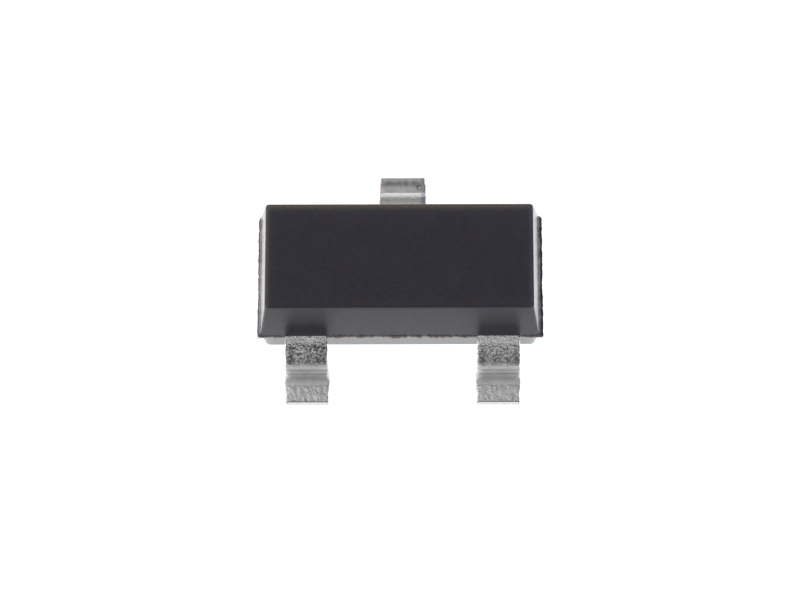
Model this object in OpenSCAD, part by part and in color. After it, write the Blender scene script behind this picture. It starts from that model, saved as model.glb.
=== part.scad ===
// Small surface-mount zener diode: a moulded body on three gull-wing leads.
// Two leads stand on the front (-Y) side and one on the back (+Y) side.
// The origin is the centre of the footprint, on the board plane.
// +X runs along the body and +Z points up. All sizes are in millimetres.

/* [Body] */
// Length of the upper half of the body at the parting plane
body_length = 2.76; // [2.60:0.01:2.90]
// Width of the upper half of the body at the parting plane
body_width = 1.274; // [1.25:0.002:1.31]
// How far the lower half stands in from the upper half all round
lower_step = 0.004; // [0:0.001:0.02]
// Height of the top face above the board
top_height = 1.11; // [1.00:0.005:1.12]
// Height of the parting plane above the board
parting_height = 0.52; // [0.50:0.002:0.56]
// Gap between the board and the underside of the body
standoff = 0.05; // [0.02:0.01:0.10]
// Slope of the upper end walls from the vertical, in degrees
upper_end_slope = 7; // [3:0.1:12]
// Slope of the upper front and back walls from the vertical, in degrees
upper_side_slope = 9.9; // [5:0.1:13]
// Slope of the lower walls from the vertical, in degrees
lower_slope = 7.8; // [4:0.1:12]
// Radius of the two front corners of the upper half, seen from above
front_corner = 0.03; // [0.026:0.002:0.10]
// Radius of the two back corners of the upper half, seen from above
back_corner = 0.06; // [0.026:0.002:0.10]
// Radius of the corners of the lower half, seen from below
lower_corner = 0.06; // [0.026:0.002:0.14]
// Radius along the edges of the top and bottom faces
edge_radius = 0.015; // [0.005:0.005:0.025]

/* [Parting ledge] */
// How far the thin ledge of compound stands out at the ends
ledge_at_ends = 0.03; // [0.004:0.002:0.05]
// How far the thin ledge of compound stands out at the front and back
ledge_at_sides = 0.005; // [0.002:0.001:0.02]
// Thickness of the ledge
ledge_thickness = 0.02; // [0.01:0.005:0.04]
// Width of the nick in the ledge beside each lead
ledge_nick = 0.014; // [0.005:0.001:0.03]

/* [Leads] */
// Distance between the centres of the two front leads
lead_pitch = 1.90; // [1.80:0.01:2.00]
// Distance over the tips of the leads
lead_span = 2.38; // [2.34:0.01:2.50]
// Width of each front lead
front_lead_width = 0.42; // [0.34:0.01:0.48]
// Width of the back lead
back_lead_width = 0.45; // [0.34:0.01:0.48]
// Thickness of the lead strip
lead_thickness = 0.11; // [0.09:0.005:0.13]
// Inner radius of both bends of a lead
bend_radius = 0.07; // [0.05:0.005:0.09]
// Angle of the shank from the horizontal, in degrees
shank_angle = 83; // [79:1:87]
// Distance from the middle of the body to where each lead starts to bend
bend_start = 0.75; // [0.72:0.005:0.77]

/* [Lead frame inside the body] */
// Length of the chip pad, along the body
pad_length = 1.10; // [0.80:0.01:1.20]
// Width of the chip pad, across the body
pad_width = 0.66; // [0.56:0.01:0.70]
// Length of each bond post, along the body
post_length = 0.52; // [0.48:0.01:0.54]
// Width of each bond post, across the body
post_width = 0.40; // [0.36:0.01:0.46]
// Depth in the body at which the chip pad and the bond posts begin
anchor_depth = 0.25; // [0.22:0.005:0.28]
// Depth of the anchor notch in each edge of a lead
notch_depth = 0.07; // [0.03:0.01:0.09]
// Length of the anchor notch along a lead
notch_length = 0.11; // [0.05:0.01:0.14]
// Chamfer on the corners of the chip pad and the bond posts
plate_chamfer = 0.05; // [0.02:0.01:0.08]

/* [Chip and bond wire] */
// Side of the square silicon chip
chip_side = 0.36; // [0.28:0.01:0.40]
// Height of the silicon chip
chip_height = 0.14; // [0.10:0.01:0.18]
// Diameter of the round metal contact on the chip
contact_diameter = 0.24; // [0.15:0.01:0.26]
// Height of the round metal contact on the chip
contact_height = 0.004; // [0.002:0.001:0.006]
// Thickness of the solder under the chip
solder_thickness = 0.012; // [0.008:0.002:0.02]
// How far the solder stands out round the chip
solder_margin = 0.025; // [0.01:0.005:0.04]
// Diameter of the bond wire
wire_diameter = 0.03; // [0.02:0.002:0.038]
// Diameter of the ball where the wire starts on the chip
ball_diameter = 0.085; // [0.06:0.005:0.10]
// Height of the flattened ball
ball_height = 0.026; // [0.02:0.002:0.035]
// Straight rise of the wire above the ball
wire_rise = 0.05; // [0.03:0.01:0.08]
// Slope of the long run of the wire, in degrees
wire_slope = 20; // [18:1:24]

/* [Hidden] */
$fn = 48;

// Steps along each round stretch: body corners, body edges, lead bends and wire bends
corner_steps = 8;
edge_steps = 4;
bend_steps = 12;
wire_steps = 8;
wire_sides = 12;

// Half sizes of the body at the parting plane and over the ledge
half_length = body_length / 2;
half_width = body_width / 2;
lower_half_length = half_length - lower_step;
lower_half_width = half_width - lower_step;
ledge_half_length = half_length + ledge_at_ends;
ledge_half_width = half_width + ledge_at_sides;
ledge_bottom = parting_height - ledge_thickness;

// The lead strip lies just under the parting plane
strip_bottom = parting_height - lead_thickness;
post_inset = half_width - anchor_depth;
notch_start = post_inset + notch_length;

// Side profile of a lead: two equal bends with a straight shank between them
middle_radius = bend_radius + lead_thickness / 2;
bend_reach = middle_radius * sin(shank_angle);
bend_drop = middle_radius * (1 - cos(shank_angle));
shank_drop = strip_bottom - 2 * bend_drop;
foot_start = bend_start + 2 * bend_reach + shank_drop / tan(shank_angle);

// The chip sits on the middle of its pad
pad_front = post_inset - pad_width;
chip_y = post_inset - pad_width / 2;
chip_bottom = parting_height + solder_thickness;
contact_bottom = chip_bottom + chip_height;
contact_top = contact_bottom + contact_height;

// Route of the bond wire in its own upright plane, from the ball to the post
first_bend = 0.05;
last_bend = 0.20;
landing_slope = 6;
stitch_length = 0.075;
stitch_width = 0.07;
stitch_height = 0.008;
wire_aim = [-0.82, -0.23];
rise_top = contact_top + ball_height + wire_rise;
run_start = [first_bend * (1 + sin(wire_slope)), rise_top + first_bend * cos(wire_slope)];
landing_height = parting_height + wire_diameter / 2;
bend_fall = last_bend * (cos(landing_slope) - cos(wire_slope));
run_drop = run_start[1] - landing_height - bend_fall;
run_length = run_drop / sin(wire_slope);
run_end = run_start + run_length * [cos(wire_slope), -sin(wire_slope)];
last_centre = run_end + last_bend * [sin(wire_slope), cos(wire_slope)];
stitch_start = last_centre - last_bend * [sin(landing_slope), cos(landing_slope)];
stitch_end = [stitch_start[0] + stitch_length, parting_height + stitch_height / 2];
wire_heading = atan2(wire_aim[1] - chip_y, wire_aim[0]);

// Points of a circular arc from one angle to another
function arc(centre, radius, from, to, steps) =
    [for (i = [0:steps])
        let (angle = from + (to - from) * i / steps)
        centre + radius * [cos(angle), sin(angle)]];

// Outline from the points of its right half, mirrored to the left
function both_halves(right) =
    concat(right, [for (i = [len(right) - 1:-1:0]) [-right[i][0], right[i][1]]]);

// Sections of the wire along its route: point, heading in degrees, width and height
function wire_arc(centre, radius, from, to, side) =
    [for (i = [0:wire_steps])
        let (angle = from + (to - from) * i / wire_steps)
        [
            centre + radius * [cos(angle), sin(angle)],
            angle + side,
            wire_diameter,
            wire_diameter
        ]];
wire_sections = concat(
    [[[0, contact_top + ball_height / 2], 90, wire_diameter, wire_diameter]],
    wire_arc([first_bend, rise_top], first_bend, 180, 90 - wire_slope, -90),
    wire_arc(last_centre, last_bend, 270 - wire_slope, 270 - landing_slope, 90),
    [[stitch_end, 0, stitch_width, stitch_height]]
);

// Centred rectangle with one radius at its back corners and one at its front ones, anticlockwise
function round_outline(length, width, back, front) =
    concat(
        arc([length - back, width - back], back, 0, 90, corner_steps),
        arc([back - length, width - back], back, 90, 180, corner_steps),
        arc([front - length, front - width], front, 180, 270, corner_steps),
        arc([length - front, front - width], front, 270, 360, corner_steps)
    );

// Sections of the body from the bottom up: height, half length, half width, back and front
// corner radius
function lower_section(height) =
    let (inset = (ledge_bottom - height) * tan(lower_slope))
    [
        height,
        lower_half_length - inset,
        lower_half_width - inset,
        lower_corner,
        lower_corner
    ];
function upper_section(height) =
    let (rise = height - parting_height)
    [
        height,
        half_length - rise * tan(upper_end_slope),
        half_width - rise * tan(upper_side_slope),
        back_corner,
        front_corner
    ];

// A section drawn in by the rounded edge at the angle, 0 where the wall ends and 90 on the face
function rounded(section, angle) =
    let (inset = edge_radius * (1 - cos(angle)))
    [
        section[0],
        section[1] - inset,
        section[2] - inset,
        section[3] - inset,
        section[4] - inset
    ];
lower_edge = [for (i = [edge_steps:-1:0])
    let (angle = 90 * i / edge_steps)
    rounded(lower_section(standoff + edge_radius * (1 - sin(angle))), angle)];
upper_edge = [for (i = [0:edge_steps])
    let (angle = 90 * i / edge_steps)
    rounded(upper_section(top_height - edge_radius * (1 - sin(angle))), angle)];
body_sections = concat(
    lower_edge,
    [
        lower_section(ledge_bottom),
        [ledge_bottom, ledge_half_length, ledge_half_width, back_corner, front_corner],
        [parting_height, ledge_half_length, ledge_half_width, back_corner, front_corner],
        upper_section(parting_height)
    ],
    upper_edge
);

// Closed skin through a stack of rings with equal counts of points, each ring anticlockwise
// as seen from the last ring
module ring_skin(rings) {
    count = len(rings[0]);
    last = len(rings) - 1;
    points = [for (ring = rings) for (point = ring) point];
    sides = [for (k = [0:last - 1])
        for (i = [0:count - 1])
        let (j = (i + 1) % count)
        [k * count + i, (k + 1) * count + i, (k + 1) * count + j, k * count + j]];
    bottom = [for (i = [0:count - 1]) i];
    top = [for (i = [count - 1:-1:0]) last * count + i];
    polyhedron(points, concat([bottom], sides, [top]));
}

// Skin of the whole body, without its inner spaces
module body_skin() {
    ring_skin([for (s = body_sections)
        [for (p = round_outline(s[1], s[2], s[3], s[4])) [p[0], p[1], s[0]]]]);
}

// Clear space in the front ledge beside a lead of the given width
module ledge_nicks(width) {
    nick_width = width + 2 * ledge_nick;
    nick_depth = ledge_at_sides + lower_step;
    translate([-nick_width / 2, -ledge_half_width - ledge_nick, ledge_bottom])
        cube([nick_width, ledge_nick + nick_depth, ledge_thickness]);
}

// Stamped strip of a front lead inside the body: neck with notches, then the bond post
module front_blank() {
    neck = front_lead_width / 2;
    waist = neck - notch_depth;
    wide = post_length / 2;
    end = post_width - post_inset;
    right = [
        [neck, -bend_start],
        [neck, -notch_start],
        [waist, -notch_start],
        [waist, -post_inset],
        [wide - plate_chamfer, -post_inset],
        [wide, plate_chamfer - post_inset],
        [wide, end - plate_chamfer],
        [wide - plate_chamfer, end]
    ];
    polygon(both_halves(right));
}

// Stamped strip of the back lead inside the body: neck with notches, then the chip pad
module back_blank() {
    neck = back_lead_width / 2;
    waist = neck - notch_depth;
    wide = pad_length / 2;
    right = [
        [wide - plate_chamfer, pad_front],
        [wide, pad_front + plate_chamfer],
        [wide, post_inset - plate_chamfer],
        [wide - plate_chamfer, post_inset],
        [waist, post_inset],
        [waist, notch_start],
        [neck, notch_start],
        [neck, bend_start]
    ];
    polygon(both_halves(right));
}

// The formed part of a lead, leaving the body towards +Y
module gull_wing(width) {
    upper = [bend_start, strip_bottom - bend_radius];
    lower = [foot_start, lead_thickness + bend_radius];
    outer_radius = bend_radius + lead_thickness;
    profile = concat(
        arc(upper, outer_radius, 90, 90 - shank_angle, bend_steps),
        arc(lower, bend_radius, 270 - shank_angle, 270, bend_steps),
        [[lead_span / 2, lead_thickness], [lead_span / 2, 0]],
        arc(lower, outer_radius, 270, 270 - shank_angle, bend_steps),
        arc(upper, bend_radius, 90 - shank_angle, 90, bend_steps)
    );
    translate([-width / 2, 0, 0])
        rotate([90, 0, 90])
        linear_extrude(width)
        polygon(profile);
}

// Whole front lead, centred on x = 0
module front_lead() {
    translate([0, 0, strip_bottom])
        linear_extrude(lead_thickness)
        front_blank();
    rotate([0, 0, 180])
        gull_wing(front_lead_width);
}

module anode_lead() {
    color("silver")
        translate([-lead_pitch / 2, 0, 0])
        front_lead();
}

module spare_lead() {
    color("silver")
        translate([lead_pitch / 2, 0, 0])
        front_lead();
}

module cathode_lead() {
    color("silver") {
        translate([0, 0, strip_bottom])
            linear_extrude(lead_thickness)
            back_blank();
        gull_wing(back_lead_width);
    }
}

// Solder that holds the chip, spread a little past its edges
module chip_solder() {
    side = chip_side + 2 * solder_margin;
    color("gainsboro")
        translate([-side / 2, chip_y - side / 2, parting_height])
        cube([side, side, solder_thickness]);
}

module zener_chip() {
    color("slategray") {
        translate([-chip_side / 2, chip_y - chip_side / 2, chip_bottom])
            cube([chip_side, chip_side, chip_height]);
        translate([0, chip_y, contact_bottom])
            cylinder(h = contact_height, d = contact_diameter);
    }
}

// Section of the wire in its upright plane: an ellipse across the heading at a point of the route
function wire_ring(section) =
    let (point = section[0], heading = section[1], wide = section[2], high = section[3])
    [for (i = [0:wire_sides - 1])
        let (angle = 360 * i / wire_sides)
        let (up = high / 2 * cos(angle))
        [
            point[0] - up * sin(heading),
            -wide / 2 * sin(angle),
            point[1] + up * cos(heading)
        ]];

// Ball pressed flat on the contact, with the wire standing on it
module wire_ball() {
    translate([0, 0, contact_top])
        intersection() {
            translate([0, 0, ball_height / 2])
                sphere(d = ball_diameter);
            translate([0, 0, ball_height / 2])
                cube([ball_diameter * 2, ball_diameter * 2, ball_height], center = true);
        }
}

module bond_wire() {
    color("gold")
        translate([0, chip_y, 0])
        rotate([0, 0, wire_heading]) {
            wire_ball();
            ring_skin([for (section = wire_sections) wire_ring(section)]);
        }
}

// Moulded compound, with the space that the lead frame, the chip and the wire fill
module mould_body() {
    color("dimgray")
        difference() {
            body_skin();
            anode_lead();
            spare_lead();
            cathode_lead();
            zener_chip();
            chip_solder();
            bond_wire();
            for (x = [-lead_pitch / 2, lead_pitch / 2])
                translate([x, 0, 0])
                ledge_nicks(front_lead_width);
            rotate([0, 0, 180])
                ledge_nicks(back_lead_width);
        }
}

mould_body();
anode_lead();
spare_lead();
cathode_lead();
zener_chip();
chip_solder();
bond_wire();
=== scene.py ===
"""Finish of a small surface-mount zener diode: its moulded body, its gull-wing leads and what they hold."""

from typing import NamedTuple

import bpy
import numpy as np
from bpy.props import FloatProperty, FloatVectorProperty, PointerProperty
from mathutils import Euler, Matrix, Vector


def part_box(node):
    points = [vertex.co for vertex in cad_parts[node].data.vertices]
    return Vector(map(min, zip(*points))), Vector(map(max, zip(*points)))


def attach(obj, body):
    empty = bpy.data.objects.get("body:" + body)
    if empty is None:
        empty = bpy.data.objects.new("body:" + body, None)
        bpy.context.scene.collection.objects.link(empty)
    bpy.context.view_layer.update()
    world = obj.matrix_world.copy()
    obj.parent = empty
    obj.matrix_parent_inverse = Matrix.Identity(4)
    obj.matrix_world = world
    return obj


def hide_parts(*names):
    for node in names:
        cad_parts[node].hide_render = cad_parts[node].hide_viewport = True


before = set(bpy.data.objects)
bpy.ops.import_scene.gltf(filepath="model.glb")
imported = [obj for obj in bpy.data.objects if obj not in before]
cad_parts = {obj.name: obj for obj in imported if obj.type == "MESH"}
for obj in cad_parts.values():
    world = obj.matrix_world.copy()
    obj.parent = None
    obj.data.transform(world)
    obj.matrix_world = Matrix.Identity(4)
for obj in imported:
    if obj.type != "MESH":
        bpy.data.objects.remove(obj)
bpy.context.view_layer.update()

bl_info = {
    "name": "Zener Diode Finish",
    "version": (1, 0, 0),
    "blender": (4, 5, 0),
    "location": "3D View > Sidebar > Zener",
    "description": "Builds the body, the leads, the bond wire and the studio of a surface-mount diode",
    "category": "Object",
}

MM = 0.001
BODY = "root"

body_low, body_high = (np.array(corner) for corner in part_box("mould_body"))
front_low, front_high = (np.array(corner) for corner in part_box("anode_lead"))
right_low, right_high = (np.array(corner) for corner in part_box("spare_lead"))
back_low, back_high = (np.array(corner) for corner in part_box("cathode_lead"))
chip_low, chip_high = (np.array(corner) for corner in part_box("zener_chip"))

PARTING = front_high[2]
FRONT_LEAD_X = (right_low[0] + right_high[0]) / 2
LEAD_TIP = back_high[1]


def length(label, meaning, value):
    """A property for a length in metres."""
    return FloatProperty(name=label, description=meaning, default=value, min=0, precision=6, unit="LENGTH")


def slope(label, meaning, degrees):
    """A property for an angle, given in degrees."""
    return FloatProperty(name=label, description=meaning, default=np.radians(degrees), subtype="ANGLE")


def share(label, meaning, value, high=1.0):
    """A property for a plain number from 0 to high."""
    return FloatProperty(name=label, description=meaning, default=value, min=0, max=high)


def colour(label, meaning, value):
    """A property for a linear colour."""
    return FloatVectorProperty(
        name=label, description=meaning, default=value, size=3, min=0, max=1, subtype="COLOR"
    )


class BodyLook(bpy.types.PropertyGroup):
    """Sizes and colours of the moulded body."""

    lower_step: length("Lower step", "How far the lower half stands in from the upper half", 0.004 * MM)
    end_slope: slope("End slope", "Slope of the upper end walls from the vertical", 6.7)
    side_slope: slope("Side slope", "Slope of the upper front and back walls", 9.9)
    lower_slope: slope("Lower slope", "Slope of the lower front and back walls", 7.8)
    lower_end_slope: slope("Lower end slope", "Slope of the lower end walls", 3)
    front_corner: length("Front corner", "Radius of the front corners of the upper half", 0.03 * MM)
    back_corner: length("Back corner", "Radius of the back corners of the upper half", 0.032 * MM)
    lower_corner: length("Lower corner", "Corner radius of the lower half", 0.055 * MM)
    edge_radius: length("Edge radius", "Radius along the top and bottom edges", 0.015 * MM)
    ledge_at_ends: length("Ledge at ends", "Reach of the thin ledge at the ends", 0.03 * MM)
    ledge_at_sides: length("Ledge at sides", "Reach of the thin ledge at front and back", 0.005 * MM)
    ledge_thickness: length("Ledge thickness", "Thickness of the ledge", 0.02 * MM)
    left_fillet: length("Left fillet", "How far the left ledge climbs the end wall", 0.045 * MM)
    right_fillet: length("Right fillet", "How far the right ledge climbs the end wall", 0.035 * MM)
    ledge_wear: share("Ledge wear", "How raggedly the ledge is broken off", 0.2)
    nick: length("Nick", "Gap in the ledge beside each lead", 0.014 * MM)
    grain: share("Roughness", "Roughness of the moulded surface", 0.3)
    compound: colour("Compound", "Colour of the moulding compound", (0.0175, 0.0152, 0.032))
    # The two rim colours are a painted highlight along the rounded edges of the top face, warm at the left
    # and cool at the right end.
    rim_highlight: colour("Worn rim", "Colour of the rubbed rim of the top face", (0.19, 0.162, 0.125))
    cool_rim_highlight: colour("Cool rim", "Colour of the rubbed rim, at the right", (0.12, 0.13, 0.17))
    warm_gloss: colour("Warm gloss", "Tint of the gloss in warm patches", (1.0, 0.92, 0.94))
    cool_gloss: colour("Cool gloss", "Tint of the gloss in cool patches", (0.88, 0.9, 1.0))
    # Colour of the broken ledge: its filler shows at the break, and the left end gets more of it than the
    # right as painted light.
    broken_and_lit: colour("Broken edge", "Colour where the ledge is broken", (0.4, 0.33, 0.29))


class LeadLook(bpy.types.PropertyGroup):
    """Sizes and colours of the leads."""

    front_width: length("Front lead width", "Width of each front lead", 0.42 * MM)
    back_width: length("Back lead width", "Width of the back lead", 0.458 * MM)
    thickness: length("Strip thickness", "Thickness of the lead strip", 0.11 * MM)
    shift: length("Shift", "How far the three leads sit to the right of the body's middle", 0.025 * MM)
    bend_radius: length("Bend radius", "Inner radius of both bends", 0.07 * MM)
    shank_angle: slope("Shank angle", "Angle of the shank from the horizontal", 83)
    bend_start: length("Bend start", "Distance from the middle to the first bend", 0.75 * MM)
    wide_start: length("Wide start", "Distance from the middle to the wide inner part", 0.387 * MM)
    notch_length: length("Notch length", "Length of the anchor notch", 0.11 * MM)
    notch_depth: length("Notch depth", "Depth of the anchor notch", 0.07 * MM)
    chamfer: length("Chamfer", "Chamfer of the wide inner part", 0.05 * MM)
    edge_radius: length("Edge radius", "Radius along the edges of the strip", 0.012 * MM)
    tip_radius: length("Tip radius", "Radius round the cut tip", 0.006 * MM)
    rolled_width: length("Rolled width", "Width of the edge that the punch rolled over", 0.06 * MM)
    rolled_depth: length("Rolled depth", "How far that edge is rolled down", 0.008 * MM)
    swelling: length("Swelling", "How far the second bend swells at each edge", 0.015 * MM)
    droop: length("Droop", "How strongly the strip sags where it leaves the body", 0.0147 * MM)
    grain_height: length("Grain height", "Height of the tin grain", 0.0042 * MM)
    tin: colour("Tin", "Colour of the tin plate", (0.855, 0.848, 0.843))
    # Colour of the dull spots, which are partly painted shade in the crease's crevices, and of all painted
    # shade on the leads.
    stain: colour("Stain", "Colour of the dull spots in the tin", (0.125, 0.122, 0.127))
    rust: colour("Edge stain", "Warm colour along the sheared edges", (0.7, 0.6, 0.56))
    cool_stain: colour("Cool stain", "Cool colour along the right edge of the back lead", (0.45, 0.43, 0.5))
    # Colour of a dark line along the tip's top edge.
    tip_line: colour("Copper", "Colour of the thin line of bare copper at the cut tip", (0.09, 0.05, 0.04))


class InsideLook(bpy.types.PropertyGroup):
    """Sizes and colours of the bond wire, the chip and its solder."""

    wire_diameter: length("Wire diameter", "Diameter of the bond wire", 0.03 * MM)
    ball_diameter: length("Ball diameter", "Diameter of the pressed ball", 0.085 * MM)
    ball_height: length("Ball height", "Height of the pressed ball", 0.026 * MM)
    wire_rise: length("Wire rise", "Straight rise of the wire above its ball", 0.05 * MM)
    wire_slope: slope("Wire slope", "Slope of the long run of the wire", 20)
    landing_slope: slope("Landing slope", "Slope of the wire where it lands", 6)
    first_bend: length("First bend", "Radius of the bend above the ball", 0.05 * MM)
    last_bend: length("Last bend", "Radius of the bend above the post", 0.20 * MM)
    stitch_length: length("Stitch length", "Length of the pressed stitch", 0.075 * MM)
    stitch_width: length("Stitch width", "Width of the pressed stitch", 0.07 * MM)
    stitch_height: length("Stitch height", "Height of the stitch's tip", 0.008 * MM)
    gold: colour("Gold", "Colour of the bond wire", (0.95, 0.66, 0.25))
    silicon: colour("Silicon", "Colour of the chip", (0.09, 0.1, 0.12))
    solder: colour("Solder", "Colour of the solder", (0.5, 0.5, 0.52))


class StudioLook(bpy.types.PropertyGroup):
    """Camera, floor and light."""

    elevation: slope("Elevation", "Height of the camera above the horizon", 71)
    side_turn: slope("Side turn", "How far the camera stands to the right, about its own upright", 0.45)
    roll: slope("Roll", "Turn of the camera about its line of sight", -0.15)
    distance: length("Distance", "Distance from the camera to the point it looks at", 34 * MM)
    aim: FloatVectorProperty(
        name="Aim",
        description="Point looked at",
        default=(0.001 * MM, -0.2222 * MM, 0.408 * MM),
        precision=6,
        unit="LENGTH",
    )
    lens: FloatProperty(name="Lens", description="Focal length", default=154.0, unit="CAMERA")
    floor_size: length("Floor size", "Radius of the floor", 400 * MM)
    glow: share("Floor glow", "Brightness of the pale floor, lit from below", 1.2, 5.0)
    near_glow: share("Near glow", "Brightness that the floor lends the object close by", 1.05, 5.0)
    close_glow: share("Close glow", "How much more the floor lends close to the body", 0.33, 5.0)
    side_glow: share("Side glow", "How much more it lends beside the body", 0.62, 5.0)
    far_glow: share("Far glow", "Brightness that the floor lends the object from far in front", 0.3, 5.0)
    glow_start: length("Glow start", "Distance in front at which that light begins to fade", 1.25 * MM)
    glow_end: length("Glow end", "Distance in front at which it has faded", 2.3 * MM)
    room: share("Room", "Brightness of the dim room", 0.21, 5.0)
    panel: share("Panel", "Brightness of the soft light panel", 0.5, 50.0)
    panel_tilt: slope("Panel tilt", "How far the panel stands behind the zenith", 16)
    panel_inner: slope("Panel core", "Half angle of the panel's even core", 20)
    panel_outer: slope("Panel rim", "Half angle at which the panel has faded out", 34)
    side: share("Side light", "Brightness that a soft light low on the left adds", 0.55, 50.0)
    front: share("Front light", "Brightness that the ceiling in front adds", 0.17, 50.0)
    backdrop: share("Backdrop", "Brightness that the low backdrop behind adds", 0.7, 50.0)


# Odd factors and shifts that mix a cell's three numbers and the seed into one value.
CELL_FACTORS = (73856093, 19349663, 83492791)
SEED_FACTOR = 2654435761
BIT_MIXERS = ((15, 2246822519), (13, 3266489917))
LAST_SHIFT = 16
LARGEST = 0xFFFFFFFF
# A length in metres that is too small to matter.
TINY = 1e-9


def lattice_value(cell, seed):
    """Value from 0 to 1 for each whole-number cell: its numbers times large odd ones, then mixed bits."""
    whole = cell.astype(np.int64).astype(np.uint64)
    mixed = np.full(whole.shape[:-1], seed * SEED_FACTOR, np.uint64)
    for axis, factor in enumerate(CELL_FACTORS):
        mixed ^= whole[..., axis] * np.uint64(factor)
    mixed &= np.uint64(LARGEST)
    for shift, factor in BIT_MIXERS:
        mixed = (mixed ^ (mixed >> np.uint64(shift))) * np.uint64(factor) & np.uint64(LARGEST)
    mixed ^= mixed >> np.uint64(LAST_SHIFT)
    return mixed.astype(np.float64) / LARGEST


def soft_noise(points, size, seed):
    """Noise from -1 to 1: values at the corners of cubes of that size, blended by 3t^2 - 2t^3 each way."""
    scaled = points / size
    cell = np.floor(scaled)
    blend = scaled - cell
    blend = blend * blend * (3 - 2 * blend)
    total = np.zeros(points.shape[:-1])
    for corner in np.ndindex(2, 2, 2):
        weight = np.prod(np.where(corner, blend, 1 - blend), axis=-1)
        total += weight * lattice_value(cell + corner, seed)
    return 2 * total - 1


def line_noise(along, size, seed):
    """The same noise along a line."""
    return soft_noise(np.stack([along, 0 * along, 0 * along], axis=-1), size, seed)


def bump_at(values, centre, width):
    """Bell curve: e to the minus square of the distance from the centre in widths."""
    return np.exp(-(((values - centre) / width) ** 2))


def soft_step(values, middle, width):
    """Smooth change from 0 to 1 round the middle: the logistic curve of the distance in widths."""
    return 1 / (1 + np.exp(-(values - middle) / width))


def steps(start, end, count):
    """Evenly spaced rows of numbers from start up to, but without, end."""
    return np.linspace(start, end, count, endpoint=False)


def outline_columns(end_steps, corner_steps, side_steps):
    """Columns round a round-cornered rectangle, anticlockwise from the middle of its +X end.

    Each is three numbers: the shares, -1 to 1, of the straight parts in X and Y at which its corner circle
    is centred, and its angle on that circle. Half an end, a corner and half a side make a quarter, and
    mirroring the quarter in X and then in Y gives the rest.
    """
    quarter = np.concatenate([
        steps((1, 0, 0), (1, 1, 0), end_steps),
        steps((1, 1, 0), (1, 1, np.pi / 2), corner_steps),
        steps((1, 1, np.pi / 2), (0, 1, np.pi / 2), side_steps),
    ])
    left = quarter[::-1] * (-1, 1, -1) + (0, 0, np.pi)
    half = np.concatenate([quarter, [(0, 1, np.pi / 2)], left])
    return np.concatenate([half, half[-2:0:-1] * (1, -1, -1)])


def outline_rings(columns, half_x, half_y, back, front):
    """Rectangles with round corners, one a row: share of the straight part, plus radius along the angle.

    The corners at positive Y have the back radius and those at negative Y the front radius.
    """
    half_x, half_y, back, front = (np.asarray(v)[:, None] for v in (half_x, half_y, back, front))
    share_x, share_y, angle = columns.T
    radius = np.where(share_y > 0, back, front)
    x = share_x * (half_x - radius) + radius * np.cos(angle)
    y = share_y * (half_y - radius) + radius * np.sin(angle)
    return x, y


def ring_normals(rings):
    """Outward direction at each point of the rings: the cross product of the steps round and along them."""
    round_step = np.roll(rings, -1, axis=1) - np.roll(rings, 1, axis=1)
    along_step = np.gradient(rings, axis=0)
    normal = np.cross(round_step, along_step)
    size = np.linalg.norm(normal, axis=-1, keepdims=True)
    return normal / np.maximum(size, 1e-20)


def ring_faces(row_count, column_count):
    """Quads between neighbour rings, and strips between mirrored columns that close both end rings."""
    row = np.arange(row_count - 1)[:, None] * column_count
    here = np.arange(column_count)
    after = (here + 1) % column_count
    above = row + column_count
    sides = np.stack([row + here, row + after, above + after, above + here], axis=-1)
    right = np.arange(column_count // 2)
    mirror = (column_count - right) % column_count
    strip = np.stack([right, mirror, mirror - 1 + column_count * (mirror == 0), right + 1], axis=-1)
    last = strip[:, ::-1] + (row_count - 1) * column_count
    return sides.reshape(-1, 4), strip, last


SHARP_ANGLE = np.radians(40)


def make_piece(name, rings, material, node, attributes=None, turned=False):
    """Mesh object of closed rings, with point attributes, that rides on the body and stands for a CAD node.

    The end strips have a triangle at each tip, where two corners of the quad are the same point.
    """
    row_count, column_count = rings.shape[:2]
    sides, first, last = ring_faces(row_count, column_count)
    faces = sides.tolist() + [list(dict.fromkeys(face)) for face in np.concatenate([first, last]).tolist()]
    mesh = bpy.data.meshes.new(name)
    mesh.from_pydata(rings.reshape(-1, 3), [], faces)
    if turned:
        mesh.flip_normals()
    mesh.update()
    for label, values in (attributes or {}).items():
        layer = mesh.attributes.new(label, "FLOAT", "POINT")
        layer.data.foreach_set("value", np.broadcast_to(values, (row_count, column_count)).ravel())
    mesh.shade_smooth()
    mesh.set_sharp_from_angle(angle=SHARP_ANGLE)
    mesh.materials.append(material)
    piece = bpy.data.objects.new(name, mesh)
    bpy.context.scene.collection.objects.link(piece)
    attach(piece, BODY)
    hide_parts(node)


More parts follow.
